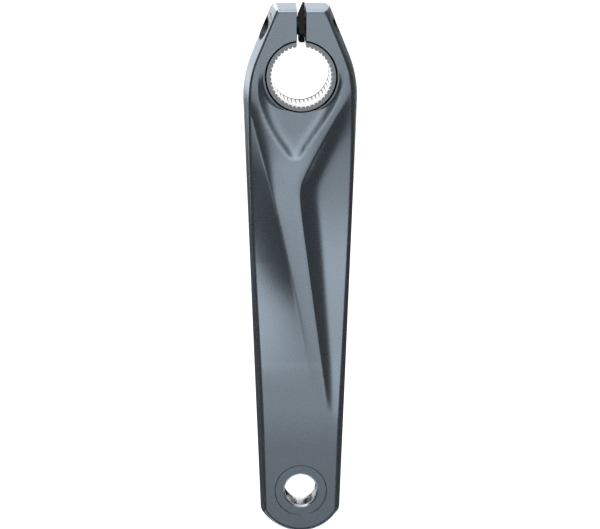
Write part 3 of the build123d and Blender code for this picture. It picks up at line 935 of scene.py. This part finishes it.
# Steel of the bolts and washers, with a fine grain
steelLook = {
    "colour": (0.42, 0.42, 0.43, 1),
    "metallic": 1.0,
    "roughness": 0.36,
    "specular": 0.5,
    "grain": (2600.0, 3.0, 0.2),  # scale, detail and its part in the roughness
    "bump": 0.1,
    "bumpHeight": 0.00002,
}


def makeGrained(look, name):
    # one colour with a grain in its roughness and bump
    material, tree = newMaterial(name)
    scale, detail, part = look["grain"]
    grain = noiseAt(tree, objectPlace(tree), scale, detail)
    sockets = {
        "Base Color": look["colour"],
        "Metallic": look["metallic"],
        "Specular IOR Level": look["specular"],
        "Roughness": look["roughness"] + (grain - 0.5) * part,
    }
    finishSurface(tree, look, grain, sockets)
    return material


boltSteel = makeGrained(steelLook, "boltSteel")
washerSteel = makeGrained(dict(steelLook, colour=(0.55, 0.55, 0.56, 1)), "washerSteel")
for place, out, side in (("outboard", outerBoltOut, -1), ("inboard", innerBoltOut, 1)):
    bolt = makeBolt(place + "PinchBolt", boltForm, out, side)
    paint(bolt, boltSteel)
    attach(bolt, "arm")
    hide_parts(place + "_clamp_bolt")
    washer = makeWasher(place + "Washer", washerForm, out, side)
    paint(washer, washerSteel)
    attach(washer, "arm")
    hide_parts(place + "_bolt_washer")
print("bolts and washers")

# Stopper plate keeps its solid, with its edges broken
plateLook = {
    "colour": (0.007, 0.007, 0.008, 1),
    "metallic": 0.0,
    "roughness": 0.45,
    "specular": 0.3,
    "grain": (4200.0, 2.0, 0.2),
    "bump": 0.15,
    "bumpHeight": 0.00003,
    "weld": 0.000002,
    "edge": (0.00018, 2, 35.0),  # width and segments of its bevel, and the angle from which an edge gets one
}


def breakEdges(piece, look):
    # joins the solid's loose triangles, then bevels the edges between its faces
    weld = piece.modifiers.new("weld", "WELD")
    weld.merge_threshold = look["weld"]
    width, segments, angle = look["edge"]
    edge = piece.modifiers.new("edge", "BEVEL")
    edge.width = width
    edge.segments = segments
    edge.limit_method = "ANGLE"
    edge.angle_limit = np.radians(angle)


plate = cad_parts["stopper_plate"]
plate.data.materials.clear()
paint(plate, makeGrained(plateLook, "blackMouldedPlastic"))
breakEdges(plate, plateLook)
print("stopper plate")

# Studio: white floor and surroundings, cards for the metal to reflect, two soft lamps; in metres
studio = {
    "floor": (-0.55, 30.0),  # height and half width
    "floorColour": (0.8, 0.8, 0.8, 1),
    "floorGlow": 0.8,
    "fill": 0.55,
    "cardGap": 0.004,  # between the floor and the cards
    "cardColour": (0.03, 0.03, 0.032, 1),
    "frontCard": (2.6, -4.0, -0.1, 0.9),  # half width, from y, to y, and the far wall's top
    "greyLevels": (0.36, 1.0, 0.10, 0.015),  # in the middle, at the rims, in the dark band, and the least
    "greyRise": (0.92, -0.24, -0.02),  # level of the far wall's upper part, and the heights of its rise
    "greyEnd": (0.75, 1.35),  # distances over which the grey begins
    "greyNear": 0.1,  # distance from which the sideways shares are taken
    "greyRims": (0.1, 0.2, 0.2, 0.5),  # sideways shares where the rims start, are full, and fall to dark
    "greyBand": (-0.44, -0.38, -0.32, -0.26),  # heights where the dark band starts, is full, wanes and ends
    "backCard": (1.0, 0.05, 3.0),  # half width, from y, to y
    "backColour": (0.07, 0.07, 0.072, 1),
    "sideCards": ((0.5, -1.35, 0.75, 0.4), (0.75, 0.4, 0.75, 2.6)),  # from x and y, to x and y
    "sideTops": ((0.9, -0.2), (0.9, 0.3)),  # left and right
    "frontLamp": ((-0.5, -1.0, 1.4), 1.2, 1.2, 5.0),  # place, width, height, power
    "backLamp": ((-0.8, 1.6, 0.9), 1.6, 0.6, 5.0),
    "lampAim": (0.0, -0.02, -0.08),
}


def levelCard(half, near, far, height):
    # corners of a level rectangle from one y to another
    return [(-half, near, height), (half, near, height), (half, far, height), (-half, far, height)]


def uprightCard(start, end, low, high):
    # corners of an upright rectangle over a line between two places
    return [(*start, low), (*end, low), (*end, high), (*start, high)]


def makeCard(name, corners, material):
    mesh = bpy.data.meshes.new(name)
    mesh.from_pydata(corners, [], [(0, 1, 2, 3)])
    card = addObject(name, mesh)
    paint(card, material)
    return card


def makeMatte(name, colour):
    material, tree = newMaterial(name)
    finishMaterial(tree, addNode(tree, "ShaderNodeBsdfDiffuse", {}, {"Color": colour}))
    return material


def lightPaths(tree):
    # one where a camera, glossy or transmitted ray looks, and nought elsewhere
    names = ("Is Camera Ray", "Is Glossy Ray", "Is Transmission Ray")
    camera, glossy, through = outputsOf(tree, "ShaderNodeLightPath", names)
    return camera.maths("MAXIMUM", camera, glossy.maths("MAXIMUM", glossy, through))


def makeGrey(s):
    # grey straight ahead of the arm, lighter high up and at its rims, dark beyond them and in a low band
    material, tree = newMaterial("greyField")
    x, y, z = outputsOf(tree, "ShaderNodeSeparateXYZ", "XYZ", {"Vector": objectPlace(tree)})

    def ease(value, start, end):
        sockets = {"Value": value, "From Min": start, "From Max": end}
        return addNode(tree, "ShaderNodeMapRange", {"interpolation_type": "SMOOTHSTEP"}, sockets)

    away = 0 - y
    aside = x.maths("ABSOLUTE", x) / away.maths("MAXIMUM", away, s["greyNear"])
    middle, rim, low, least = s["greyLevels"]
    rimStart, rimFull, fallStart, fallEnd = s["greyRims"]
    bandStart, bandFull, bandWane, bandEnd = s["greyBand"]
    rims = ease(aside, rimStart, rimFull) * ease(z, bandWane, bandEnd)
    upper, riseStart, riseEnd = s["greyRise"]
    centre = middle + (upper - middle) * ease(z, riseStart, riseEnd)
    level = (centre + (rim - centre) * rims) * (1 - ease(aside, fallStart, fallEnd))
    band = ease(z, bandStart, bandFull) * (1 - ease(z, bandWane, bandEnd))
    level = level * (1 - (1 - low / middle) * band) * ease(away, *s["greyEnd"])
    colour = (level + least) * lightPaths(tree)
    finishMaterial(tree, addNode(tree, "ShaderNodeEmission", {}, {"Color": colour}))
    return material


def makeFloor(s):
    # matte, and with a glow that only the camera and reflections see
    material, tree = newMaterial("paleFloor")
    matte = addNode(tree, "ShaderNodeBsdfDiffuse", {}, {"Color": s["floorColour"]})
    strength = lightPaths(tree) * s["floorGlow"]
    glow = addNode(tree, "ShaderNodeEmission", {}, {"Color": (1, 1, 1, 1), "Strength": strength})
    finishMaterial(tree, addNode(tree, "ShaderNodeAddShader", {}, {0: matte, 1: glow}))
    height, half = s["floor"]
    makeCard("floor", levelCard(half, -half, half, height), material)


def makeWorld(s):
    # white to the camera and reflections, and a weaker fill for the rest
    world = bpy.data.worlds.new("studioWorld")
    bpy.context.scene.world = world
    world.use_nodes = True
    tree = world.node_tree
    tree.nodes.clear()
    strength = s["fill"] + lightPaths(tree) * (1 - s["fill"])
    shader = addNode(tree, "ShaderNodeBackground", {}, {"Color": (1, 1, 1, 1), "Strength": strength})
    addNode(tree, "ShaderNodeOutputWorld", {}, {"Surface": shader})


def makeCards(s):
    # level cards before and behind the arm, an upright one far in front, and two on either side
    low = s["floor"][0] + s["cardGap"]
    dark = makeMatte("darkCard", s["cardColour"])
    dim = makeMatte("dimCard", s["backColour"])
    grey = makeGrey(s)
    cards = [makeCard("backCard", levelCard(*s["backCard"], low), dim)]
    for name, side, tops in (("left", -1, s["sideTops"][0]), ("right", 1, s["sideTops"][1])):
        for (x0, y0, x1, y1), top in zip(s["sideCards"], tops):
            corners = uprightCard((side * x0, y0), (side * x1, y1), low, top)
            cards.append(makeCard(name + "Card", corners, dark))
    half, near, far, top = s["frontCard"]
    cards.append(makeCard("frontCard", levelCard(half, near, far, low), grey))
    cards.append(makeCard("frontWall", uprightCard((-half, near), (half, near), low, top), grey))
    for card in cards:
        card.visible_camera = False
        card.visible_shadow = False
        card.visible_diffuse = False


def setView(holder, place, right, up, back):
    # puts a lamp or the camera in its place, looking away from back
    turn = np.column_stack([right, up, back])
    holder.matrix_world = Matrix.Translation(place) @ Matrix(turn.tolist()).to_4x4()


def makeLamp(name, aim, place, width, height, power):
    # a soft rectangle of light that looks at the aim
    lamp = bpy.data.lights.new(name, "AREA")
    lamp.shape = "RECTANGLE"
    lamp.size = width
    lamp.size_y = height
    lamp.energy = power
    holder = addObject(name, lamp)
    holder.visible_camera = False
    back = np.array(place) - np.array(aim)
    back = back / np.linalg.norm(back)
    right = np.cross([0, 0, 1], back)
    right = right / np.linalg.norm(right)
    setView(holder, place, right, np.cross(back, right), back)


makeWorld(studio)
makeFloor(studio)
makeCards(studio)
for name in ("frontLamp", "backLamp"):
    makeLamp(name, studio["lampAim"], *studio[name])
print("studio")

# Camera at the photograph's viewing angle
cameraView = {
    "azimuth": -2.262,
    "elevation": 11.6,
    "roll": 0.181,
    "distance": 1.0,
    "target": (-0.00018, -0.02, -0.077285),
    "focalPixels": 2449.15,
    "imageWidth": 600,
    "sensorWidth": 36.0,
    "clip": (0.01, 100.0),
}


def makeCamera(c):
    # stands off the target along the viewing angle, turned about its own axis by the roll
    az, el, roll = np.radians([c["azimuth"], c["elevation"], c["roll"]])
    back = np.array([np.sin(az) * np.cos(el), -np.cos(az) * np.cos(el), np.sin(el)])
    right = np.array([np.cos(az), np.sin(az), 0])
    up = np.cross(back, right)
    data = bpy.data.cameras.new("camera")
    data.sensor_fit = "HORIZONTAL"
    data.sensor_width = c["sensorWidth"]
    data.lens = c["focalPixels"] * c["sensorWidth"] / c["imageWidth"]
    data.clip_start, data.clip_end = c["clip"]
    holder = addObject("camera", data)
    place = np.array(c["target"]) + c["distance"] * back
    rolledRight = np.cos(roll) * right + np.sin(roll) * up
    rolledUp = np.cos(roll) * up - np.sin(roll) * right
    setView(holder, place, rolledRight, rolledUp, back)
    bpy.context.scene.camera = holder


makeCamera(cameraView)
bpy.context.scene.view_settings.view_transform = "Standard"
print("camera")
